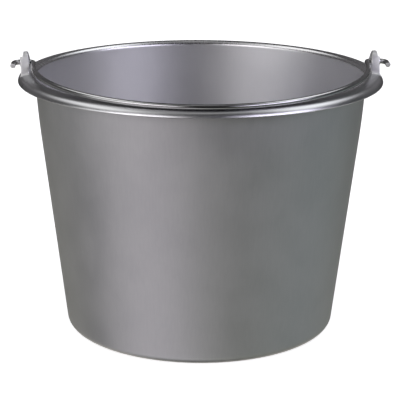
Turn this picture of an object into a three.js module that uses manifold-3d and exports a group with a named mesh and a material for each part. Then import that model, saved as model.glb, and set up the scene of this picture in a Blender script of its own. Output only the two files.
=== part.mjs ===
// Aluminium milk pail: a drawn shell with a rolled rim, two lugs on the rim and a wire bail.
// Millimetres, +Z up, origin at the centre of the base. The lugs stand on the X axis.
import * as THREE from 'three';
import { mergeVertices } from 'three/addons/utils/BufferGeometryUtils.js';
import Module from 'manifold-3d';

// Shell
const PAIL_HEIGHT = 230; // base to the ridge of the rim
const SHEET = 1.5; // thickness of the drawn sheet
const RIM_RADIUS = 160; // widest point of the rim
const RIDGE_RADIUS = 148.5; // highest line of the rim
const RIDGE_BEND = 4; // bend over the ridge, at mid sheet
const RIM_FALL = THREE.MathUtils.degToRad(12); // slope of the rim's top where it leaves the ridge
const RIM_DROP = 4.9; // from the ridge bend's mid sheet top down to the widest point
const LIP_BEND = 1.8; // roll of the rim's lower edge, at mid sheet
const LIP_TURN = THREE.MathUtils.degToRad(110);
const NECK_HEIGHT = 43; // steeper band below the ridge
const NECK_TAPER = 3.1; // how much narrower the band is at its foot
const BASE_RADIUS = 119; // where the wall's line meets the ground, at mid sheet
const CORNER_BEND = 7.25; // bend between wall and base, at mid sheet
const PANEL_RADIUS = 93; // raised panel in the base
const PANEL_RISE = 3;
const PANEL_STEP = 7; // width of the sloping step round the panel
const SHELL_SEGMENTS = 72;

// Bail
const WIRE_RADIUS = 2.25;
const BAIL_HALF_WIDTH = 146.3; // arms just inside the lugs
const BAIL_REACH = 154; // from the hinge axis to the front of the bail
const HINGE_RISE = 7.8; // hinge axis above the ridge
const REST_RISE = 1.35; // front of the bail above the ridge, where it lies on the rim
const ARM_BEND = 3.6;
const HOOK_REACH = 163.2; // middle of the hook tip, from the centre
const HOOK_BEND = 6;
const HOOK_LENGTH = 14.2; // from the hinge axis to the cut end

// Lugs
const LUG_RADIUS = 153; // from the pail's centre to the middle of the lug
const LUG_TOP = 17.2; // above the ridge
const LUG_TOP_RADIUS = 7.5;
const LUG_HALF_WIDTH = 15; // at the foot
const LUG_FOOT_THICKNESS = 7.2; // up to the hinge axis
const LUG_TOP_THICKNESS = 3.6;
const LUG_DEPTH = 4; // below the ridge, before the foot is shaped to the rim
const BOSS_RADIUS = 4.2;
const BOSS_HEIGHT = 1.2;
const HOLE_RADIUS = 2.7;
const HOLE_SEGMENTS = 24;
const FOOT_GAP = 0.3;

const wasm = await Module();
wasm.setup();

const aluminium = () => new THREE.MeshStandardMaterial({ color: 0x9a9ca0, roughness: 0.45, metalness: 0.9 });
const castAluminium = () => new THREE.MeshStandardMaterial({ color: 0xb4b6b8, roughness: 0.35, metalness: 0.9 });
const wire = () => new THREE.MeshStandardMaterial({ color: 0xa2a3a5, roughness: 0.28, metalness: 1 });

function toManifold(geometry) {
  const plain = geometry.clone();
  plain.deleteAttribute('normal');
  plain.deleteAttribute('uv');
  const merged = mergeVertices(plain, 1e-4);
  return new wasm.Manifold(new wasm.Mesh({
    numProp: 3,
    vertProperties: new Float32Array(merged.attributes.position.array),
    triVerts: new Uint32Array(merged.index.array),
  }));
}

function toGeometry(manifold) {
  const { vertProperties, triVerts } = manifold.getMesh();
  const geometry = new THREE.BufferGeometry();
  geometry.setAttribute('position', new THREE.BufferAttribute(new Float32Array(vertProperties), 3));
  geometry.setIndex(new THREE.BufferAttribute(new Uint32Array(triVerts), 1));
  geometry.computeVertexNormals();
  return geometry;
}

function namedMesh(name, geometry, material) {
  const mesh = new THREE.Mesh(geometry, material);
  mesh.name = name;
  return mesh;
}

// Mid line of the sheet, in the (radius, height) plane, from the rim's lip in to the neck.
const ridgeCentre = new THREE.Vector2(RIDGE_RADIUS, PAIL_HEIGHT - SHEET / 2 - RIDGE_BEND);
const neckTop = new THREE.Vector2(RIDGE_RADIUS - RIDGE_BEND, ridgeCentre.y);
const neckFoot = new THREE.Vector2(neckTop.x - NECK_TAPER, PAIL_HEIGHT - NECK_HEIGHT);

function rimLine() {
  const widest = new THREE.Vector2(RIM_RADIUS - SHEET / 2, PAIL_HEIGHT - RIM_DROP);
  const bendEnd = new THREE.Vector2(Math.sin(RIM_FALL), Math.cos(RIM_FALL))
    .multiplyScalar(RIDGE_BEND).add(ridgeCentre);
  const shoulder = new THREE.Vector2(widest.x, bendEnd.y - Math.tan(RIM_FALL) * (widest.x - bendEnd.x));
  const lip = new THREE.EllipseCurve(widest.x - LIP_BEND, widest.y, LIP_BEND, LIP_BEND, -LIP_TURN, 0);
  const slope = new THREE.QuadraticBezierCurve(widest, shoulder, bendEnd);
  const ridge = new THREE.EllipseCurve(
    ridgeCentre.x, ridgeCentre.y, RIDGE_BEND, RIDGE_BEND, Math.PI / 2 - RIM_FALL, Math.PI,
  );
  return [...lip.getPoints(5), ...slope.getPoints(7).slice(1), ...ridge.getPoints(6).slice(1)];
}

// The same mid line from the neck down the wall, round the corner and in to the axis.
function wallAndBaseLine() {
  const ground = SHEET / 2;
  const wall = neckFoot.clone().sub(new THREE.Vector2(BASE_RADIUS, ground));
  const wallAngle = wall.angle();
  const cornerLength = CORNER_BEND / Math.tan((Math.PI - wallAngle) / 2);
  const corner = new THREE.EllipseCurve(
    BASE_RADIUS - cornerLength, ground + CORNER_BEND, CORNER_BEND, CORNER_BEND,
    wallAngle - Math.PI / 2, -Math.PI / 2, true,
  );
  const stepMiddle = PANEL_RADIUS + PANEL_STEP / 2;
  const step = new THREE.CubicBezierCurve(
    new THREE.Vector2(PANEL_RADIUS + PANEL_STEP, ground),
    new THREE.Vector2(stepMiddle, ground),
    new THREE.Vector2(stepMiddle, ground + PANEL_RISE),
    new THREE.Vector2(PANEL_RADIUS, ground + PANEL_RISE),
  );
  return [neckFoot, ...corner.getPoints(7), ...step.getPoints(5), new THREE.Vector2(0, ground + PANEL_RISE)];
}

// Moves each point of a line sideways, to the left of its direction where the distance is positive.
function offsetLine(points, distance) {
  return points.map((point, i) => {
    const before = points[Math.max(i - 1, 0)];
    const after = points[Math.min(i + 1, points.length - 1)];
    const along = after.clone().sub(before).normalize();
    return new THREE.Vector2(point.x - along.y * distance, point.y + along.x * distance);
  });
}

// A solid of revolution about +Z, from an outline in the (radius, height) plane.
function revolve(outline) {
  return toManifold(new THREE.LatheGeometry(outline, SHELL_SEGMENTS).rotateX(Math.PI / 2));
}

function pailBody() {
  const sheet = [...rimLine(), ...wallAndBaseLine()];
  const outside = offsetLine(sheet, SHEET / 2);
  const inside = offsetLine(sheet, -SHEET / 2);
  return toGeometry(revolve([...outside.reverse(), ...inside]));
}

// Everything under the rim's top surface, with the gap that a foot on the rim keeps.
function underRim() {
  const top = offsetLine(rimLine(), -(SHEET / 2 + FOOT_GAP));
  return revolve([...top, top[0]]);
}

// Extrudes a shape drawn in the plane of two axes along the third, centred on its plane.
function extrudeOver(shape, thickness, ...axes) {
  const geometry = new THREE.ExtrudeGeometry(shape, { depth: thickness, bevelEnabled: false, curveSegments: 9 });
  geometry.translate(0, 0, -thickness / 2);
  return geometry.applyMatrix4(new THREE.Matrix4().makeBasis(...axes));
}

const X = new THREE.Vector3(1, 0, 0);
const Y = new THREE.Vector3(0, 1, 0);
const Z = new THREE.Vector3(0, 0, 1);

// The lug seen along the hinge axis: a foot that narrows to a round top. Heights are above the ridge.
function lugOutline() {
  const centreHeight = LUG_TOP - LUG_TOP_RADIUS;
  const toFoot = new THREE.Vector2(LUG_HALF_WIDTH, -LUG_DEPTH - centreHeight);
  const flankAngle = Math.atan2(toFoot.y, toFoot.x) + Math.acos(LUG_TOP_RADIUS / toFoot.length());
  const shape = new THREE.Shape();
  shape.moveTo(-LUG_HALF_WIDTH, -LUG_DEPTH);
  shape.lineTo(LUG_HALF_WIDTH, -LUG_DEPTH);
  shape.absarc(0, centreHeight, LUG_TOP_RADIUS, flankAngle, Math.PI - flankAngle);
  return shape;
}

// The lug seen along the rim: thick up to the hinge axis and thinner from there to the top.
function lugTaper() {
  const foot = LUG_FOOT_THICKNESS / 2;
  const top = LUG_TOP_THICKNESS / 2;
  return new THREE.Shape([
    new THREE.Vector2(-foot, -LUG_DEPTH),
    new THREE.Vector2(foot, -LUG_DEPTH),
    new THREE.Vector2(foot, HINGE_RISE),
    new THREE.Vector2(top, LUG_TOP),
    new THREE.Vector2(-top, LUG_TOP),
    new THREE.Vector2(-foot, HINGE_RISE),
  ]);
}

function rodAlongX(radius, from, to) {
  const rod = new THREE.CylinderGeometry(radius, radius, to - from, HOLE_SEGMENTS);
  return toManifold(rod.rotateZ(-Math.PI / 2).translate((from + to) / 2, 0, HINGE_RISE));
}

// The lug on the +X side: its outer face, with the boss round the hole, looks along +X.
function lug() {
  const bossFace = LUG_FOOT_THICKNESS / 2 + BOSS_HEIGHT;
  const ear = toManifold(extrudeOver(lugOutline(), 2 * LUG_FOOT_THICKNESS, Y, Z, X))
    .intersect(toManifold(extrudeOver(lugTaper(), 4 * LUG_HALF_WIDTH, X, Z, Y.clone().negate())));
  const drilled = ear.add(rodAlongX(BOSS_RADIUS, 0, bossFace))
    .subtract(rodAlongX(HOLE_RADIUS, -LUG_FOOT_THICKNESS, LUG_FOOT_THICKNESS));
  const onRim = drilled.translate([LUG_RADIUS, 0, PAIL_HEIGHT]);
  return toGeometry(onRim.subtract(underRim()));
}

// A path made of flat curves, each cut into its own number of equal steps.
class SteppedPath extends THREE.Curve {
  constructor(legs) {
    super();
    this.legs = legs;
    this.steps = legs.reduce((sum, leg) => sum + leg.steps, 0);
  }

  locate(t) {
    let step = t * this.steps;
    let leg = this.legs[0];
    for (leg of this.legs) {
      if (step <= leg.steps) break;
      step -= leg.steps;
    }
    return [leg.curve, Math.min(step / leg.steps, 1)];
  }

  getPoint(t) {
    const [curve, share] = this.locate(t);
    const { x, y } = curve.getPoint(share);
    return new THREE.Vector3(x, y, 0);
  }

  getTangent(t) {
    const [curve, share] = this.locate(t);
    const { x, y } = curve.getTangent(share);
    return new THREE.Vector3(x, y, 0);
  }

  getPointAt(t) {
    return this.getPoint(t);
  }

  getTangentAt(t) {
    return this.getTangent(t);
  }
}

// One end of the bail in its own plane, from the cut end in to the arm, on the side that sign gives.
function hookLegs(sign) {
  const line = (x1, y1, x2, y2) => new THREE.LineCurve(
    new THREE.Vector2(sign * x1, y1), new THREE.Vector2(sign * x2, y2),
  );
  const outward = sign > 0 ? 0 : Math.PI;
  const inward = Math.PI - outward;
  const bendStart = HOOK_REACH - HOOK_BEND;
  const armStart = BAIL_HALF_WIDTH + ARM_BEND;
  const hookBend = new THREE.EllipseCurve(
    sign * bendStart, -HOOK_BEND, HOOK_BEND, HOOK_BEND, outward, Math.PI / 2, sign < 0,
  );
  const armBend = new THREE.EllipseCurve(
    sign * armStart, -ARM_BEND, ARM_BEND, ARM_BEND, Math.PI / 2, inward, sign < 0,
  );
  return [
    { curve: line(HOOK_REACH, -HOOK_LENGTH, HOOK_REACH, -HOOK_BEND), steps: 1 },
    { curve: hookBend, steps: 8 },
    { curve: line(bendStart, 0, armStart, 0), steps: 1 },
    { curve: armBend, steps: 6 },
  ];
}

// The same flat curve run the other way.
class ReversedCurve extends THREE.Curve {
  constructor(curve) {
    super();
    this.curve = curve;
  }

  getPoint(t) {
    return this.curve.getPoint(1 - t);
  }

  getTangent(t) {
    return this.curve.getTangent(1 - t).negate();
  }
}

function bailWire() {
  const loop = new THREE.EllipseCurve(
    0, -ARM_BEND, BAIL_HALF_WIDTH, BAIL_REACH - ARM_BEND, Math.PI, 2 * Math.PI,
  );
  const backAgain = hookLegs(1).reverse()
    .map(({ curve, steps }) => ({ curve: new ReversedCurve(curve), steps }));
  const path = new SteppedPath([...hookLegs(-1), { curve: loop, steps: 44 }, ...backAgain]);
  const section = new THREE.Shape().absarc(0, 0, WIRE_RADIUS, 0, 2 * Math.PI);
  return new THREE.ExtrudeGeometry(section, { steps: path.steps, extrudePath: path, curveSegments: 6 });
}

const group = new THREE.Group();
group.add(namedMesh('pail_body', pailBody(), aluminium()));

const lugGeometry = lug();
for (const [name, turn] of [['lug_right', 0], ['lug_left', Math.PI]]) {
  const mesh = namedMesh(name, lugGeometry, castAluminium());
  mesh.rotation.z = turn;
  group.add(mesh);
}

const bail = namedMesh('bail_wire', bailWire(), wire());
bail.position.z = PAIL_HEIGHT + HINGE_RISE;
bail.rotation.x = Math.asin((HINGE_RISE - REST_RISE) / BAIL_REACH);
group.add(bail);

export default group;
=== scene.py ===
"""Looks of the milk pail: satin shell, cast lugs, drawn-wire bail, pale stage and soft light."""

import math

import bmesh
import bpy
from mathutils import Matrix, Vector


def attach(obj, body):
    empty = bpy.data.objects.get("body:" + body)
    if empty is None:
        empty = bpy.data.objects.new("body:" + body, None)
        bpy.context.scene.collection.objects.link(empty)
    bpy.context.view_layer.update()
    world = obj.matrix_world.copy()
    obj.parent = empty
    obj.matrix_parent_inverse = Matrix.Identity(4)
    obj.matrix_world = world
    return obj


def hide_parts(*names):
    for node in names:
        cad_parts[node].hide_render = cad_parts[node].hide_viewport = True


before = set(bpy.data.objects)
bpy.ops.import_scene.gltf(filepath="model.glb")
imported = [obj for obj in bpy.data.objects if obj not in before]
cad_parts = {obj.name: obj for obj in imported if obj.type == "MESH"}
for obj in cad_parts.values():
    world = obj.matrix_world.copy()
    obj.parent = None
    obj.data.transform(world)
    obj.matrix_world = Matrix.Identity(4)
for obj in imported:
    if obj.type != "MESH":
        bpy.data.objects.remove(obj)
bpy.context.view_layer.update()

MM = 0.001

# The CAD's own sizes, in millimetres. Only the rolled rim differs: here it is rounder (ROLL_BEND).
PAIL_HEIGHT = 230
SHEET = 1.5
RIM_RADIUS = 160
RIDGE_RADIUS = 148.5
RIDGE_BEND = 4
RIM_FALL = math.radians(12)
RIM_DROP = 4.9
NECK_HEIGHT = 43
NECK_TAPER = 3.1
BASE_RADIUS = 119
CORNER_BEND = 7.25
PANEL_RADIUS = 93
PANEL_RISE = 3
PANEL_STEP = 7
WIRE_RADIUS = 2.25
BAIL_HALF_WIDTH = 146.3
BAIL_REACH = 154
HINGE_RISE = 7.8
REST_RISE = 1.35
ARM_BEND = 3.6
HOOK_REACH = 163.2
HOOK_BEND = 6
HOOK_LENGTH = 14.2
LUG_RADIUS = 153
LUG_TOP = 17.2
LUG_TOP_RADIUS = 7.5
LUG_HALF_WIDTH = 15
LUG_FOOT_THICKNESS = 7.2
LUG_TOP_THICKNESS = 3.6
LUG_DEPTH = 4
BOSS_RADIUS = 4.2
BOSS_HEIGHT = 1.2
HOLE_RADIUS = 2.7

# What only the looks need, in millimetres.
SHELL_SEGMENTS = 384
ROLL_BEND = 5.75  # the roll's bend at mid sheet
ROLL_END = math.radians(8)  # where the lip ends, above the widest point
EDGE_ROUND = 0.35
NECK_BLEND = 14
PANEL_HOLE = 6  # the panel's mid line ends this far from the axis, and a fan of faces closes it
LUG_VOXEL = 0.32
TUMBLE_STEPS = 4
WELD_FILLET = 1.0  # the fillet's height
WELD_SPREAD = 0.8  # its width as a share of its height
WELD_DEPTH_X = 0.9  # how far in from the lug's faces and flanks the foot follows the fillet
WELD_DEPTH_Y = 1.4
WELD_SINK = 0.45
LOOP_STEPS = 180
WIRE_SIDES = 24
END_CHAMFER = 0.4
# Rings on a cut end of the wire, from its middle outwards: radius and distance from the end.
END_RINGS = (
    (0.55, 0),
    (1.25, 0),
    (WIRE_RADIUS - END_CHAMFER, 0),
    (WIRE_RADIUS - END_CHAMFER * 0.3, END_CHAMFER * 0.3),
    (WIRE_RADIUS, END_CHAMFER),
)
CUT_MARK = 4  # added to the second texture coordinate on the cut ends of the wire
CUT_BANDS = 2  # bands of faces at each end that are marked as cut

# Camera: in front of and above the pail, turned a little so that the right lug is further off.
# Metres, angles and the lens in millimetres.
VIEW_DISTANCE = 1.361
VIEW_ELEVATION = math.radians(11.35)
VIEW_PITCH = math.radians(16.16)
VIEW_TURN = math.radians(2.35)
VIEW_ROLL = math.radians(0.29)
VIEW_LENS = 138.8


def make_camera():
    data = bpy.data.cameras.new("camera")
    data.lens = VIEW_LENS
    data.sensor_width = 36
    camera = bpy.data.objects.new("camera", data)
    bpy.context.scene.collection.objects.link(camera)
    out = VIEW_DISTANCE * math.cos(VIEW_ELEVATION)
    camera.location = (
        -out * math.sin(VIEW_TURN),
        -out * math.cos(VIEW_TURN),
        PAIL_HEIGHT * MM + VIEW_DISTANCE * math.sin(VIEW_ELEVATION),
    )
    turn = Matrix.Rotation(-VIEW_TURN, 3, "Z") @ Matrix.Rotation(math.pi / 2 - VIEW_PITCH, 3, "X")
    camera.rotation_euler = (turn @ Matrix.Rotation(VIEW_ROLL, 3, "Z")).to_euler()
    bpy.context.scene.camera = camera


make_camera()


# ---------------------------------------------------------------- lines in the plane

def arc(cx, cy, radius, start, end, count):
    points = []
    for i in range(count + 1):
        a = start + (end - start) * i / count
        points.append(Vector((cx + radius * math.cos(a), cy + radius * math.sin(a))))
    return points


def bezier(controls, count):
    points = []
    for i in range(count + 1):
        t = i / count
        level = [Vector(c) for c in controls]
        while len(level) > 1:
            level = [a.lerp(b, t) for a, b in zip(level, level[1:])]
        points.append(level[0])
    return points


def chain(*runs):
    """Runs of points put end to end, with the points that meet kept once."""
    points = []
    for run in runs:
        for p in run:
            if not points or (p - points[-1]).length > 1e-4:
                points.append(p)
    return points


def stretch(a, b, count):
    return [a.lerp(b, i / count) for i in range(count + 1)]


def offset(points, distance):
    moved = []
    for i, p in enumerate(points):
        before = points[max(i - 1, 0)]
        after = points[min(i + 1, len(points) - 1)]
        along = (after - before).normalized()
        moved.append(Vector((p.x - along.y * distance, p.y + along.x * distance)))
    return moved


# ---------------------------------------------------------------- pail shell

RIDGE_CENTRE = Vector((RIDGE_RADIUS, PAIL_HEIGHT - SHEET / 2 - RIDGE_BEND))
NECK_TOP = Vector((RIDGE_RADIUS - RIDGE_BEND, RIDGE_CENTRE.y))
NECK_FOOT = Vector((NECK_TOP.x - NECK_TAPER, PAIL_HEIGHT - NECK_HEIGHT))


def rim_line():
    """Mid line of the sheet from the lip over the ridge to the neck."""
    bend_end = RIDGE_CENTRE + RIDGE_BEND * Vector((math.sin(RIM_FALL), math.cos(RIM_FALL)))
    centre_x = RIM_RADIUS - SHEET / 2 - ROLL_BEND
    reach = centre_x + ROLL_BEND * math.sin(RIM_FALL) - bend_end.x
    centre_y = bend_end.y - math.tan(RIM_FALL) * reach - ROLL_BEND * math.cos(RIM_FALL)
    roll = arc(centre_x, centre_y, ROLL_BEND, ROLL_END, math.pi / 2 - RIM_FALL, 22)
    return chain(
        roll,
        stretch(roll[-1], bend_end, 4),
        arc(RIDGE_CENTRE.x, RIDGE_CENTRE.y, RIDGE_BEND, math.pi / 2 - RIM_FALL, math.pi, 16),
    )


def wall_line():
    """Mid line from the neck down the wall, round the corner and in over the raised panel."""
    ground = SHEET / 2
    wall = NECK_FOOT - Vector((BASE_RADIUS, ground))
    wall_angle = math.atan2(wall.y, wall.x)
    corner_length = CORNER_BEND / math.tan((math.pi - wall_angle) / 2)
    corner = arc(
        BASE_RADIUS - corner_length, ground + CORNER_BEND, CORNER_BEND,
        wall_angle - math.pi / 2, -math.pi / 2, 14,
    )
    blend_top = NECK_FOOT.lerp(NECK_TOP, NECK_BLEND / (NECK_TOP - NECK_FOOT).length)
    blend_foot = NECK_FOOT.lerp(corner[0], NECK_BLEND / (corner[0] - NECK_FOOT).length)
    middle = PANEL_RADIUS + PANEL_STEP / 2
    step = bezier([
        (PANEL_RADIUS + PANEL_STEP, ground), (middle, ground),
        (middle, ground + PANEL_RISE), (PANEL_RADIUS, ground + PANEL_RISE),
    ], 14)
    return chain(
        stretch(NECK_TOP, blend_top, 3),
        bezier([blend_top, NECK_FOOT, blend_foot], 6),
        stretch(blend_foot, corner[0], 22),
        corner,
        stretch(corner[-1], step[0], 3),
        step,
        stretch(step[-1], Vector((PANEL_HOLE, ground + PANEL_RISE)), 8),
    )


def sheet_outline():
    """Section of the sheet, from the axis out along the outside, round the lip and back inside."""
    line = chain(rim_line(), wall_line())
    outside = offset(line, SHEET / 2)
    inside = offset(line, -SHEET / 2)
    along = (line[1] - line[0]).normalized()
    out_dir = (outside[0] - line[0]).normalized()
    half = SHEET / 2 - EDGE_ROUND
    edge = []
    for sign in (1, -1):
        centre = line[0] + out_dir * half * sign + along * EDGE_ROUND
        turn = [centre + EDGE_ROUND * (out_dir * sign * math.cos(a) - along * math.sin(a))
                for a in (math.pi / 2 * i / 4 for i in range(5))]
        edge += turn if sign > 0 else turn[::-1]
    return outside[:0:-1] + edge + inside[1:]


def revolve(name, outline):
    """A solid turned about the axis. The outline's two ends are closed by a point on the axis."""
    mesh = bmesh.new()
    rings = []
    for p in outline:
        ring = []
        for i in range(SHELL_SEGMENTS):
            a = 2 * math.pi * i / SHELL_SEGMENTS
            ring.append(mesh.verts.new((p.x * MM * math.cos(a), p.x * MM * math.sin(a), p.y * MM)))
        rings.append(ring)
    for low, high in zip(rings, rings[1:]):
        for i in range(SHELL_SEGMENTS):
            j = (i + 1) % SHELL_SEGMENTS
            mesh.faces.new((low[i], low[j], high[j], high[i]))
    for ring, p in ((rings[0], outline[0]), (rings[-1], outline[-1])):
        pole = mesh.verts.new((0, 0, p.y * MM))
        for i in range(SHELL_SEGMENTS):
            j = (i + 1) % SHELL_SEGMENTS
            edge = (ring[j], ring[i]) if ring is rings[0] else (ring[i], ring[j])
            mesh.faces.new((*edge, pole))
    return finish_mesh(name, mesh)


def finish_mesh(name, mesh):
    bmesh.ops.recalc_face_normals(mesh, faces=mesh.faces)
    data = bpy.data.meshes.new(name)
    mesh.to_mesh(data)
    mesh.free()
    for face in data.polygons:
        face.use_smooth = True
    piece = bpy.data.objects.new(name, data)
    bpy.context.scene.collection.objects.link(piece)
    return piece


# ---------------------------------------------------------------- lugs

def rim_top(radius):
    """Height of the rim's top surface at a radius, in millimetres."""
    top = [p for p in offset(rim_line(), -SHEET / 2) if p.y > PAIL_HEIGHT - RIM_DROP - 1]
    top.sort(key=lambda p: p.x)
    if radius >= top[-1].x:
        return top[-1].y
    for a, b in zip(top, top[1:]):
        if a.x <= radius <= b.x:
            return a.y + (b.y - a.y) * (radius - a.x) / max(b.x - a.x, 1e-6)
    return top[0].y


def lug_flank():
    """Angle on the round top at which the straight flank leaves it."""
    foot = Vector((LUG_HALF_WIDTH, -LUG_DEPTH - (LUG_TOP - LUG_TOP_RADIUS)))
    return math.atan2(foot.y, foot.x) + math.acos(LUG_TOP_RADIUS / foot.length)


def lug_outline():
    """The lug seen along the hinge: its foot narrows to a round top. Heights are from the ridge."""
    flank = lug_flank()
    top = arc(0, LUG_TOP - LUG_TOP_RADIUS, LUG_TOP_RADIUS, flank, math.pi - flank, 28)
    return [Vector((-LUG_HALF_WIDTH, -LUG_DEPTH)), Vector((LUG_HALF_WIDTH, -LUG_DEPTH))] + top


def lug_half_thickness(height):
    """Half of the lug's thickness: even up to the hinge axis, then thinner to the top."""
    share = max(0, (height - HINGE_RISE) / (LUG_TOP - HINGE_RISE))
    return (LUG_FOOT_THICKNESS + (LUG_TOP_THICKNESS - LUG_FOOT_THICKNESS) * share) / 2


def lug_half_width(height):
    """Half of the lug's width along its straight flank."""
    tangent = lug_outline()[2]
    share = (height + LUG_DEPTH) / (tangent.y + LUG_DEPTH)
    return LUG_HALF_WIDTH + (tangent.x - LUG_HALF_WIDTH) * share


def solid_between(front, back):
    """A closed solid from two outlines that match point by point."""
    mesh = bmesh.new()
    a = [mesh.verts.new(p) for p in front]
    b = [mesh.verts.new(p) for p in back]
    mesh.faces.new(a)
    mesh.faces.new(b[::-1])
    for i in range(len(a)):
        j = (i + 1) % len(a)
        mesh.faces.new((a[j], a[i], b[i], b[j]))
    return mesh


def rod_along_x(radius, start, end):
    """A round rod on the hinge axis, in the lug's own millimetres."""
    ring = arc(0, HINGE_RISE, radius, 0, 2 * math.pi, 48)[:-1]
    return solid_between([(end, p.x, p.y) for p in ring], [(start, p.x, p.y) for p in ring])


def lug_taper():
    """The lug seen along the rim, as a bar right across it."""
    side = [Vector((lug_half_thickness(h), h)) for h in (-LUG_DEPTH, HINGE_RISE, LUG_TOP)]
    ring = side + [Vector((-p.x, p.y)) for p in side[::-1]]
    reach = 2 * LUG_HALF_WIDTH
    return solid_between([(p.x, -reach, p.y) for p in ring], [(p.x, reach, p.y) for p in ring])


def apply_modifiers(piece):
    graph = bpy.context.evaluated_depsgraph_get()
    data = bpy.data.meshes.new_from_object(piece.evaluated_get(graph))
    piece.modifiers.clear()
    piece.data = data


def combine(piece, other, operation):
    modifier = piece.modifiers.new("combine", "BOOLEAN")
    modifier.object = other
    modifier.operation = operation
    modifier.solver = "EXACT"
    apply_modifiers(piece)
    bpy.data.objects.remove(other)


def make_lug(name, turn):
    outline = lug_outline()
    reach = LUG_FOOT_THICKNESS
    lug = finish_mesh(name, solid_between(
        [(reach, p.x, p.y) for p in outline], [(-reach, p.x, p.y) for p in outline]))
    combine(lug, finish_mesh("taper", lug_taper()), "INTERSECT")
    boss = rod_along_x(BOSS_RADIUS, 0, LUG_FOOT_THICKNESS / 2 + BOSS_HEIGHT)
    combine(lug, finish_mesh("boss", boss), "UNION")
    hole = rod_along_x(HOLE_RADIUS, -reach, reach)
    combine(lug, finish_mesh("hole", hole), "DIFFERENCE")
    remesh = lug.modifiers.new("cast", "REMESH")
    remesh.mode = "VOXEL"
    remesh.voxel_size = LUG_VOXEL
    smooth = lug.modifiers.new("tumbled", "SMOOTH")
    smooth.factor = 0.5
    smooth.iterations = TUMBLE_STEPS
    apply_modifiers(lug)
    weld_foot(lug)
    on_rim = Matrix.Translation((LUG_RADIUS * MM, 0, PAIL_HEIGHT * MM))
    lug.data.transform(Matrix.Rotation(turn, 4, "Z") @ on_rim @ Matrix.Scale(MM, 4))
    for face in lug.data.polygons:
        face.use_smooth = True
    return lug


def weld_foot(lug):
    """Flares the foot into a small fillet on the rim, and ends it just inside the sheet."""
    for v in lug.data.vertices:
        radius = math.hypot(LUG_RADIUS + v.co.x, v.co.y)
        ground = rim_top(radius) - PAIL_HEIGHT
        above = v.co.z - ground
        if above < WELD_FILLET:
            share = 1 - max(above, 0) / WELD_FILLET
            flare = WELD_FILLET * (1 - math.sqrt(max(0, 1 - share * share))) * WELD_SPREAD
            depth_x = lug_half_thickness(v.co.z) - abs(v.co.x)
            depth_y = lug_half_width(v.co.z) - abs(v.co.y)
            side_x = max(0, 1 - depth_x / WELD_DEPTH_X)
            side_y = max(0, 1 - depth_y / WELD_DEPTH_Y)
            v.co.x += math.copysign(flare * side_x, v.co.x)
            v.co.y += math.copysign(flare * side_y, v.co.y)
        v.co.z = max(v.co.z, ground - WELD_SINK)


# ---------------------------------------------------------------- bail

def bail_line():
    """Centre line of the wire in its own plane, from the left hook to the right hook."""
    def half(sign):
        outward = 0 if sign > 0 else math.pi
        hook_x = sign * HOOK_REACH
        bend_x = sign * (HOOK_REACH - HOOK_BEND)
        arm_x = sign * (BAIL_HALF_WIDTH + ARM_BEND)
        return chain(
            stretch(Vector((hook_x, -HOOK_LENGTH)), Vector((hook_x, -HOOK_BEND)), 8),
            arc(bend_x, -HOOK_BEND, HOOK_BEND, outward, math.pi / 2, 16),
            stretch(Vector((bend_x, 0)), Vector((arm_x, 0)), 4),
            arc(arm_x, -ARM_BEND, ARM_BEND, math.pi / 2, math.pi - outward, 12),
        )
    depth = BAIL_REACH - ARM_BEND
    loop = []
    for i in range(LOOP_STEPS + 1):
        a = math.pi + math.pi * i / LOOP_STEPS
        loop.append(Vector((BAIL_HALF_WIDTH * math.cos(a), -ARM_BEND + depth * math.sin(a))))
    return chain(half(-1), loop, half(1)[::-1])


def make_bail():
    line = bail_line()
    mesh = bmesh.new()
    uv = mesh.loops.layers.uv.new("wire")
    distance = [0.0]
    for a, b in zip(line, line[1:]):
        distance.append(distance[-1] + (b - a).length)
    rings = []

    def ring(i, radius, shift):
        before = line[max(i - 1, 0)]
        after = line[min(i + 1, len(line) - 1)]
        along = (after - before).normalized()
        side = Vector((-along.y, along.x))
        centre = line[i] + along * shift
        verts = []
        for k in range(WIRE_SIDES):
            a = 2 * math.pi * k / WIRE_SIDES
            flat = centre + side * radius * math.cos(a)
            verts.append(mesh.verts.new((flat.x, flat.y, radius * math.sin(a))))
        rings.append((verts, distance[i] + shift))

    last = len(line) - 1
    for radius, shift in END_RINGS:
        ring(0, radius, shift)
    for i in range(1, last):
        ring(i, WIRE_RADIUS, 0)
    for radius, shift in reversed(END_RINGS):
        ring(last, radius, -shift)
    for i, ((low, d0), (high, d1)) in enumerate(zip(rings, rings[1:])):
        mark = CUT_MARK if min(i, len(rings) - 2 - i) < CUT_BANDS else 0
        for k in range(WIRE_SIDES):
            m = (k + 1) % WIRE_SIDES
            face = mesh.faces.new((low[k], low[m], high[m], high[k]))
            for loop, (d, s) in zip(face.loops, ((d0, k), (d0, k + 1), (d1, k + 1), (d1, k))):
                loop[uv].uv = (d * MM, s / WIRE_SIDES + mark)
    for verts, d in (rings[0], rings[-1]):
        face = mesh.faces.new(verts)
        for loop in face.loops:
            loop[uv].uv = (d * MM, 0.5 + CUT_MARK)
    bail = finish_mesh("bail", mesh)
    tilt = math.asin((HINGE_RISE - REST_RISE) / BAIL_REACH)
    on_hinge = Matrix.Translation((0, 0, (PAIL_HEIGHT + HINGE_RISE) * MM))
    bail.data.transform(on_hinge @ Matrix.Rotation(tilt, 4, "X") @ Matrix.Scale(MM, 4))
    return bail


# ---------------------------------------------------------------- material nodes

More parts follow.
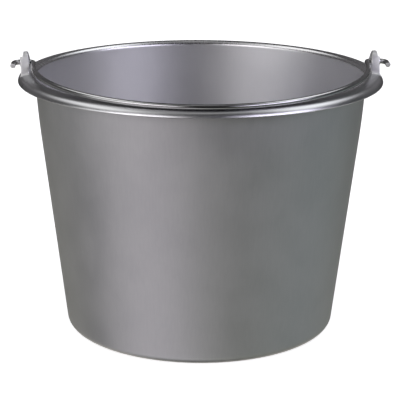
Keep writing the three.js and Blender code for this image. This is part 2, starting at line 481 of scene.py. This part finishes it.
class Nodes:
    """Short calls for building a node tree."""

    def __init__(self, tree):
        self.tree = tree
        tree.nodes.clear()

    def add(self, kind, inputs=None, **settings):
        node = self.tree.nodes.new(kind)
        for key, value in settings.items():
            setattr(node, key, value)
        for key, value in (inputs or {}).items():
            self.put(node.inputs[key], value)
        return node

    def put(self, socket, value):
        if isinstance(value, bpy.types.NodeSocket):
            self.tree.links.new(value, socket)
        else:
            socket.default_value = value

    def math(self, operation, a, b=0.0):
        node = self.add("ShaderNodeMath", {0: a, 1: b}, operation=operation)
        return node.outputs[0]

    def vector(self, operation, a, b=(0, 0, 0), output="Vector"):
        node = self.add("ShaderNodeVectorMath", {0: a, 1: b}, operation=operation)
        return node.outputs[output]

    def separate(self, vector):
        return self.add("ShaderNodeSeparateXYZ", {0: vector}).outputs

    def combine(self, x, y, z):
        return self.add("ShaderNodeCombineXYZ", {0: x, 1: y, 2: z}).outputs[0]

    def ramp(self, value, low, high, to_low=0.0, to_high=1.0, smooth=True):
        kind = "SMOOTHSTEP" if smooth else "LINEAR"
        node = self.add("ShaderNodeMapRange", {
            "Value": value, "From Min": low, "From Max": high, "To Min": to_low, "To Max": to_high,
        }, interpolation_type=kind)
        return node.outputs["Result"]

    def noise(self, where, scale, detail=3.0, rough=0.5):
        node = self.add("ShaderNodeTexNoise", {
            "Vector": where, "Scale": scale, "Detail": detail, "Roughness": rough,
        })
        return node.outputs["Fac"]

    def blend(self, share, a, b):
        node = self.add("ShaderNodeMix", data_type="RGBA")
        self.put(node.inputs[0], share)
        self.put(node.inputs[6], a)
        self.put(node.inputs[7], b)
        return node.outputs[2]

    def bump(self, height, strength, distance, normal=None):
        inputs = {"Height": height, "Strength": strength, "Distance": distance}
        if normal is not None:
            inputs["Normal"] = normal
        return self.add("ShaderNodeBump", inputs).outputs["Normal"]


def new_material(name):
    material = bpy.data.materials.new(name)
    material.use_nodes = True
    return material, Nodes(material.node_tree)


def finish_material(n, colour, roughness, normal):
    shader = n.add("ShaderNodeBsdfPrincipled", {
        "Base Color": colour, "Metallic": 1.0, "Roughness": roughness, "Normal": normal,
    })
    output = n.add("ShaderNodeOutputMaterial")
    n.tree.links.new(shader.outputs[0], output.inputs["Surface"])


def place(n):
    """Coordinates of the surface at rest, in metres."""
    return n.add("ShaderNodeTexCoord").outputs["Object"]


def facing_in(n, around):
    """One where the surface faces the pail's axis, nought where it faces away."""
    normal = n.add("ShaderNodeTexCoord").outputs["Normal"]
    outward = n.vector("DOT_PRODUCT", around, normal, "Value")
    return n.ramp(outward, 0.1, -0.3)


# Colours of the metals, with the fourth number that the nodes ask for.
SHELL_DARK = (0.505, 0.508, 0.522, 1)
SHELL_LIGHT = (0.565, 0.565, 0.575, 1)
# Ridge crest: partly wear, partly a painted highlight along the crest.
RIDGE_WEAR_AND_HIGHLIGHT = (0.68, 0.68, 0.69, 1)
SHELL_SPOT = (0.42, 0.42, 0.43, 1)
# Painted light: the inside of the shell is painted lighter to stand for the light it catches.
INSIDE_PAINTED_LIGHT = (0.73, 0.725, 0.74, 1)
CAST_DARK = (0.84, 0.84, 0.85, 1)
CAST_LIGHT = (0.93, 0.93, 0.93, 1)
CAST_PIT = (0.45, 0.45, 0.46, 1)
WIRE_DARK = (0.40, 0.40, 0.405, 1)
WIRE_LIGHT = (0.50, 0.50, 0.505, 1)
# Cut ends of the wire: bare cut metal, and partly a painted highlight.
CUT_END_AND_HIGHLIGHT = (0.86, 0.86, 0.86, 1)

# Least and most rough.
SHELL_ROUGHNESS = (0.45, 0.51)
CAST_ROUGHNESS = (0.42, 0.55)
WIRE_ROUGHNESS = (0.15, 0.22)

# Where the shell's surface changes, in metres: the start and the end of each change. Four are
# heights, and ROUND_RIDGE is distances from the axis.
ABOVE_PANEL = (0.005, 0.01)
AT_RIM = (0.2195, 0.2225)
ON_RIDGE = (0.2262, 0.2296)
ROUND_RIDGE = (0.1535, 0.149)
BELOW_RIDGE = (0.2275, 0.2255)


def satin_aluminium():
    material, n = new_material("satin_aluminium")
    where = place(n)
    x, y, height = n.separate(where)
    flat = n.combine(x, y, 0.0)
    radius = n.vector("LENGTH", flat, output="Value")
    around = n.vector("NORMALIZE", flat)
    drawn = n.vector("ADD", around, n.combine(0.0, 0.0, n.math("MULTIPLY", height, 0.9)))
    streaks = n.noise(drawn, 95.0, 4.0, 0.6)
    broad = n.noise(where, 9.0, 2.0, 0.5)
    clouds = n.noise(where, 38.0, 4.0, 0.55)
    grain = n.noise(where, 2600.0, 2.0, 0.6)
    spots = n.ramp(n.noise(where, 170.0, 3.0, 0.6), 0.66, 0.74)
    ridge = n.math("MULTIPLY", n.ramp(height, *ON_RIDGE), n.ramp(radius, *ROUND_RIDGE))
    tone = n.math("ADD", n.ramp(streaks, 0.3, 0.7, -0.5, 0.5), n.ramp(clouds, 0.3, 0.7, -0.5, 0.5))
    tone = n.math("ADD", tone, n.ramp(broad, 0.3, 0.7, -0.6, 0.6))
    share = n.ramp(tone, -1.2, 1.2, smooth=False)
    colour = n.blend(share, SHELL_DARK, SHELL_LIGHT)
    # Lightens the ridge crest: partly wear, partly a painted highlight.
    colour = n.blend(n.math("MULTIPLY", ridge, 0.35), colour, RIDGE_WEAR_AND_HIGHLIGHT)
    colour = n.blend(n.math("MULTIPLY", spots, 0.12), colour, SHELL_SPOT)
    rough = n.ramp(tone, -1.2, 1.2, *SHELL_ROUGHNESS, smooth=False)
    inside = n.math("MULTIPLY", facing_in(n, around), n.ramp(height, *ABOVE_PANEL))
    # Painted light: faces turned to the axis, above the panel, are painted lighter.
    colour = n.blend(n.math("MULTIPLY", inside, 0.5), colour, INSIDE_PAINTED_LIGHT)
    # The rolled rim and the ridge are smoother than the wall and have next to no bump.
    wall_side = n.math("MULTIPLY", inside, n.ramp(height, *BELOW_RIDGE))
    at_rim = n.ramp(height, *AT_RIM)
    rim = n.math("MULTIPLY", at_rim, n.math("SUBTRACT", 1.0, wall_side))
    rough = n.math("SUBTRACT", rough, n.math("MULTIPLY", inside, 0.03))
    rough = n.math("SUBTRACT", rough, n.math("MULTIPLY", rim, 0.18))
    unrolled = n.math("SUBTRACT", 1.0, at_rim)
    normal = n.bump(broad, n.ramp(unrolled, 0.0, 1.0, 0.1, 0.35), 0.0012)
    normal = n.bump(streaks, n.math("MULTIPLY", unrolled, 0.10), 0.0004, normal)
    normal = n.bump(grain, n.ramp(unrolled, 0.0, 1.0, 0.02, 0.12), 0.00012, normal)
    finish_material(n, colour, rough, normal)
    return material


def cast_aluminium():
    material, n = new_material("lug_aluminium")
    where = place(n)
    pits = n.noise(where, 900.0, 3.0, 0.6)
    patches = n.noise(where, 160.0, 3.0, 0.5)
    colour = n.blend(n.ramp(patches, 0.35, 0.65), CAST_DARK, CAST_LIGHT)
    colour = n.blend(n.ramp(pits, 0.62, 0.75, 0.0, 0.35), colour, CAST_PIT)
    rough = n.ramp(patches, 0.3, 0.7, *CAST_ROUGHNESS)
    normal = n.bump(patches, 0.35, 0.0004)
    normal = n.bump(pits, 0.35, 0.00018, normal)
    finish_material(n, colour, rough, normal)
    return material


def drawn_steel():
    material, n = new_material("bail_steel")
    uv = n.add("ShaderNodeUVMap", uv_map="wire").outputs[0]
    along, turn, _ = n.separate(n.vector("MULTIPLY", uv, (9.0, 1.0, 1.0)))
    angle = n.math("MULTIPLY", turn, 2 * math.pi)
    wrapped = n.combine(n.math("COSINE", angle), n.math("SINE", angle), along)
    lines = n.noise(wrapped, 7.0, 4.0, 0.65)
    handled = n.noise(place(n), 60.0, 3.0, 0.5)
    torn = n.noise(place(n), 2200.0, 3.0, 0.6)
    cut = n.ramp(turn, CUT_MARK - 1.0, CUT_MARK - 0.9)
    colour = n.blend(n.ramp(lines, 0.35, 0.65), WIRE_DARK, WIRE_LIGHT)
    # Lightens the cut ends: bare cut metal, and partly a painted highlight.
    colour = n.blend(cut, colour, CUT_END_AND_HIGHLIGHT)
    rough = n.ramp(handled, 0.3, 0.7, *WIRE_ROUGHNESS)
    rough = n.math("ADD", rough, n.math("MULTIPLY", cut, 0.35))
    normal = n.bump(lines, 0.25, 0.00015)
    normal = n.bump(torn, n.math("MULTIPLY", cut, 0.5), 0.0001, normal)
    finish_material(n, colour, rough, normal)
    return material


# ---------------------------------------------------------------- stage and light

# The floor and the cove round it, in metres.
FLOOR_RINGS = (0.4, 1.2, 3.2)
FLOOR_RADIUS = FLOOR_RINGS[-1]
FLOOR_SINK = 0.0002
FLOOR_GLOW = 0.72
COVE_RADIUS = 0.8
COVE_HEIGHT = 2.6
STAGE_SIDES = 96


def make_stage():
    """A pale floor that runs up into a cove. Only the camera sees it; the world gives the light."""
    outline = [Vector((r, 0)) for r in FLOOR_RINGS]
    outline += arc(FLOOR_RADIUS, COVE_RADIUS, COVE_RADIUS, -math.pi / 2, 0, 12)[1:]
    outline.append(Vector((FLOOR_RADIUS + COVE_RADIUS, COVE_HEIGHT)))
    mesh = bmesh.new()
    angles = [2 * math.pi * i / STAGE_SIDES for i in range(STAGE_SIDES)]
    rings = [[mesh.verts.new((p.x * math.cos(a), p.x * math.sin(a), p.y)) for a in angles]
             for p in outline]
    for low, high in zip(rings, rings[1:]):
        for i in range(STAGE_SIDES):
            j = (i + 1) % STAGE_SIDES
            mesh.faces.new((low[i], high[i], high[j], low[j]))
    mesh.faces.new(rings[0])
    stage = finish_mesh("floor", mesh)
    stage.location.z = -FLOOR_SINK
    stage.visible_glossy = False
    stage.visible_shadow = False
    stage.visible_diffuse = False
    stage.visible_transmission = False
    material, n = new_material("pale_floor")
    dull = n.add("ShaderNodeBsdfDiffuse", {"Color": (0.8, 0.8, 0.8, 1)})
    glow = n.add("ShaderNodeEmission", {"Color": (1, 1, 1, 1), "Strength": FLOOR_GLOW})
    both = n.add("ShaderNodeAddShader")
    n.tree.links.new(dull.outputs[0], both.inputs[0])
    n.tree.links.new(glow.outputs[0], both.inputs[1])
    output = n.add("ShaderNodeOutputMaterial")
    n.tree.links.new(both.outputs[0], output.inputs["Surface"])
    stage.data.materials.append(material)


# Light from all round: azimuth from the front towards the right, half width, softness of its sides,
# elevation, half height, softness of top and bottom (all degrees), strength, colour.
PANELS = (
    (-38, 17, 8, 21, 11, 8, 3.3, (1.0, 0.97, 1.0)),  # left soft box
    (-64, 14, 12, 8, 14, 10, 1.7, (1.0, 1.0, 1.0)),  # its lower outer part
    (50, 22, 8, 22, 11, 8, 3.5, (1.0, 0.97, 1.14)),  # right soft box
    (-108, 36, 14, 52, 14, 10, 1.6, (1.0, 1.0, 1.0)),  # high bank, left and behind
    (108, 36, 14, 52, 14, 10, 1.9, (1.0, 1.02, 1.04)),  # high bank, right and behind
    (-60, 20, 15, 58, 12, 12, 0.7, (1.0, 1.0, 1.0)),  # high on the left
    (0, 180, 0, 90, 14, 12, 0.5, (1.0, 1.0, 1.0)),  # overhead
    (-45, 45, 30, -50, 16, 12, 0.88, (1.0, 0.98, 1.0)),  # floor, left
    (180, 45, 30, -50, 16, 12, 0.95, (1.0, 0.95, 0.85)),  # floor, back
    (45, 45, 30, -50, 16, 12, 0.36, (1.0, 1.04, 0.85)),  # floor, right
    (-42, 22, 18, -25, 12, 12, 0.52, (1.05, 0.94, 1.02)),  # further floor, left
    (80, 30, 20, -25, 12, 12, 0.25, (0.92, 1.05, 1.03)),  # further floor, right
    (180, 60, 30, -25, 12, 12, 0.19, (1.0, 1.0, 0.8)),  # further floor, back
    (180, 60, 30, 15, 12, 12, 0.12, (1.0, 0.95, 1.0)),  # wall behind
    (-108, 22, 20, -12, 14, 12, 0.22, (1.0, 1.0, 1.0)),  # wall on the left
    (108, 22, 20, -12, 14, 12, 0.14, (0.88, 1.04, 1.06)),  # wall on the right
)
AMBIENT = (0.02, 0.02, 0.02)


def make_light():
    """Adds up the panels as smooth windows on a dim sky."""
    world = bpy.data.worlds.new("studio")
    world.use_nodes = True
    n = Nodes(world.node_tree)
    x, y, z = n.separate(n.add("ShaderNodeTexCoord").outputs["Generated"])
    azimuth = n.math("ARCTAN2", x, n.math("MULTIPLY", y, -1.0))
    elevation = n.math("ARCSINE", z)
    total = n.add("ShaderNodeRGB").outputs[0]
    total.default_value = (*AMBIENT, 1)
    for az, half_az, soft_az, el, half_el, soft_el, strength, colour in PANELS:
        wide = 1.0
        if half_az < 180:  # otherwise it runs all round
            away = n.math("COSINE", n.math("SUBTRACT", azimuth, math.radians(az)))
            wide = n.ramp(away, math.cos(math.radians(half_az + soft_az)),
                          math.cos(math.radians(half_az - soft_az)))
        off = n.math("ABSOLUTE", n.math("SUBTRACT", elevation, math.radians(el)))
        tall = n.ramp(off, math.radians(half_el + soft_el), math.radians(half_el - soft_el))
        lit = n.math("MULTIPLY", n.math("MULTIPLY", wide, tall), strength)
        scaled = n.add("ShaderNodeVectorMath", {0: colour, "Scale": lit}, operation="SCALE")
        total = n.vector("ADD", total, scaled.outputs["Vector"])
    background = n.add("ShaderNodeBackground", {"Color": total, "Strength": 1.0})
    output = n.add("ShaderNodeOutputWorld")
    n.tree.links.new(background.outputs[0], output.inputs["Surface"])
    bpy.context.scene.world = world


# ---------------------------------------------------------------- the pieces together

make_stage()
make_light()

shell = revolve("pail_shell", sheet_outline())
shell.data.materials.append(satin_aluminium())
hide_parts("pail_body")
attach(shell, "pail")

cast = cast_aluminium()
for name, turn in (("lug_right", 0), ("lug_left", math.pi)):
    lug = make_lug(name + "_cast", turn)
    lug.data.materials.append(cast)
    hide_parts(name)
    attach(lug, "pail")

bail = make_bail()
bail.data.materials.append(drawn_steel())
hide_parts("bail_wire")
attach(bail, "bail")

scene = bpy.context.scene
scene.view_settings.view_transform = "Standard"
scene.cycles.use_denoising = True
